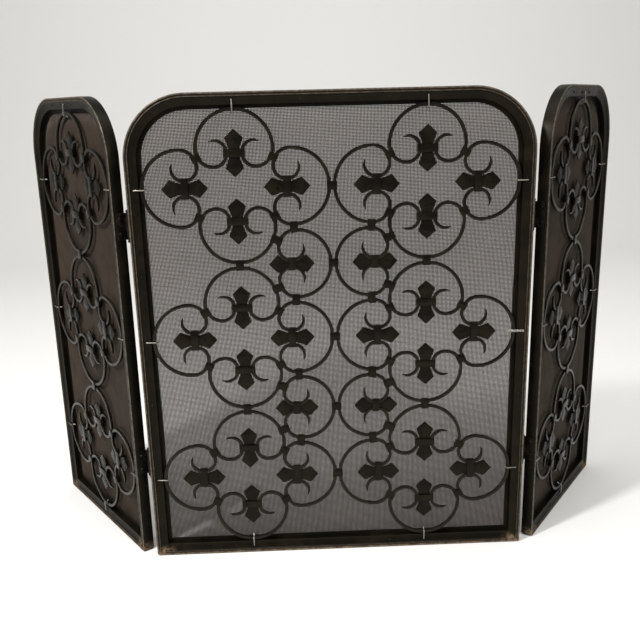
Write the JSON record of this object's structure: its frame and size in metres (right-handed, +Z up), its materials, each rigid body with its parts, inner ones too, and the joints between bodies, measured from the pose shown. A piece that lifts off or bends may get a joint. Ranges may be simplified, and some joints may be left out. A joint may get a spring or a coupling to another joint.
{
  "type": "fireplace screen",
  "caption": "Folding three-panel fireplace screen: arched hollow rails, woven wire spark mesh, forged C-scroll quatrefoils with fleur plates and bands, pinned butt hinges",
  "frame": {"origin": "middle of the underside of the centre panel's bottom rail, half way through its depth", "axes": "+X to the right across the centre panel, +Y to the back, +Z up; the side panels stand back towards +Y"},
  "size_m": [1.0646, 0.2927, 0.762],
  "materials": {
    "frame": "satin black paint, rubbed brown along the edges and feet",
    "strip": "matt black paint",
    "wire_cloth": "plain-woven wire cloth, dull black with a little bare metal on the crowns",
    "rivet": "black paint over steel",
    "screw": "black paint, worn on the heads",
    "scroll": "satin black forged bar",
    "fleur": "satin black hammered plate",
    "band": "satin black strap, edges rubbed bright",
    "clip": "dull bare steel wire",
    "hinge": "black paint, worn to brown steel"
  },
  "bodies": {
    "centre_panel": {"centre_arch_rail": "frame", "centre_bottom_rail": "frame", "centre_mesh_seat": "strip", "centre_spark_mesh": "wire_cloth", "centre_mesh_clamp": "strip", "centre_rivets": "rivet", "centre_hinge_screws": "screw", "centre_fleurs": "fleur", "centre_fleur_bands": "band", "centre_joint_bands": "band", "centre_wire_clips": "clip", "centre_scrolls_lower_left": "scroll", "centre_scrolls_lower_right": "scroll", "centre_scrolls_middle_left": "scroll", "centre_scrolls_middle_right": "scroll", "centre_scrolls_upper_left": "scroll", "centre_scrolls_upper_right": "scroll", "centre_link_scrolls": "scroll", "centre_link_fleurs": "fleur", "left_lower_hinge_centre_leaf": "hinge", "left_lower_hinge_pin": "hinge", "left_upper_hinge_centre_leaf": "hinge", "left_upper_hinge_pin": "hinge", "right_lower_hinge_centre_leaf": "hinge", "right_lower_hinge_pin": "hinge", "right_upper_hinge_centre_leaf": "hinge", "right_upper_hinge_pin": "hinge"},
    "left_panel": {"left_arch_rail": "frame", "left_bottom_rail": "frame", "left_mesh_seat": "strip", "left_spark_mesh": "wire_cloth", "left_mesh_clamp": "strip", "left_rivets": "rivet", "left_hinge_screws": "screw", "left_fleurs": "fleur", "left_fleur_bands": "band", "left_joint_bands": "band", "left_wire_clips": "clip", "left_scrolls_lower": "scroll", "left_scrolls_middle": "scroll", "left_scrolls_upper": "scroll", "left_lower_hinge_side_leaf": "hinge", "left_upper_hinge_side_leaf": "hinge"},
    "right_panel": {"right_arch_rail": "frame", "right_bottom_rail": "frame", "right_mesh_seat": "strip", "right_spark_mesh": "wire_cloth", "right_mesh_clamp": "strip", "right_rivets": "rivet", "right_hinge_screws": "screw", "right_fleurs": "fleur", "right_fleur_bands": "band", "right_joint_bands": "band", "right_wire_clips": "clip", "right_scrolls_lower": "scroll", "right_scrolls_middle": "scroll", "right_scrolls_upper": "scroll", "right_lower_hinge_side_leaf": "hinge", "right_upper_hinge_side_leaf": "hinge"}
  },
  "joints": [
    {"name": "left_fold", "type": "hinge", "parent": "centre_panel", "child": "left_panel", "pos_m": [-0.3175, 0.012, 0.3655], "axis": [0, 0, -1], "range_deg": [-66, 104]},
    {"name": "right_fold", "type": "hinge", "parent": "centre_panel", "child": "right_panel", "pos_m": [0.3175, 0.012, 0.3655], "axis": [0, 0, 1], "range_deg": [-66, 104]}
  ]
}
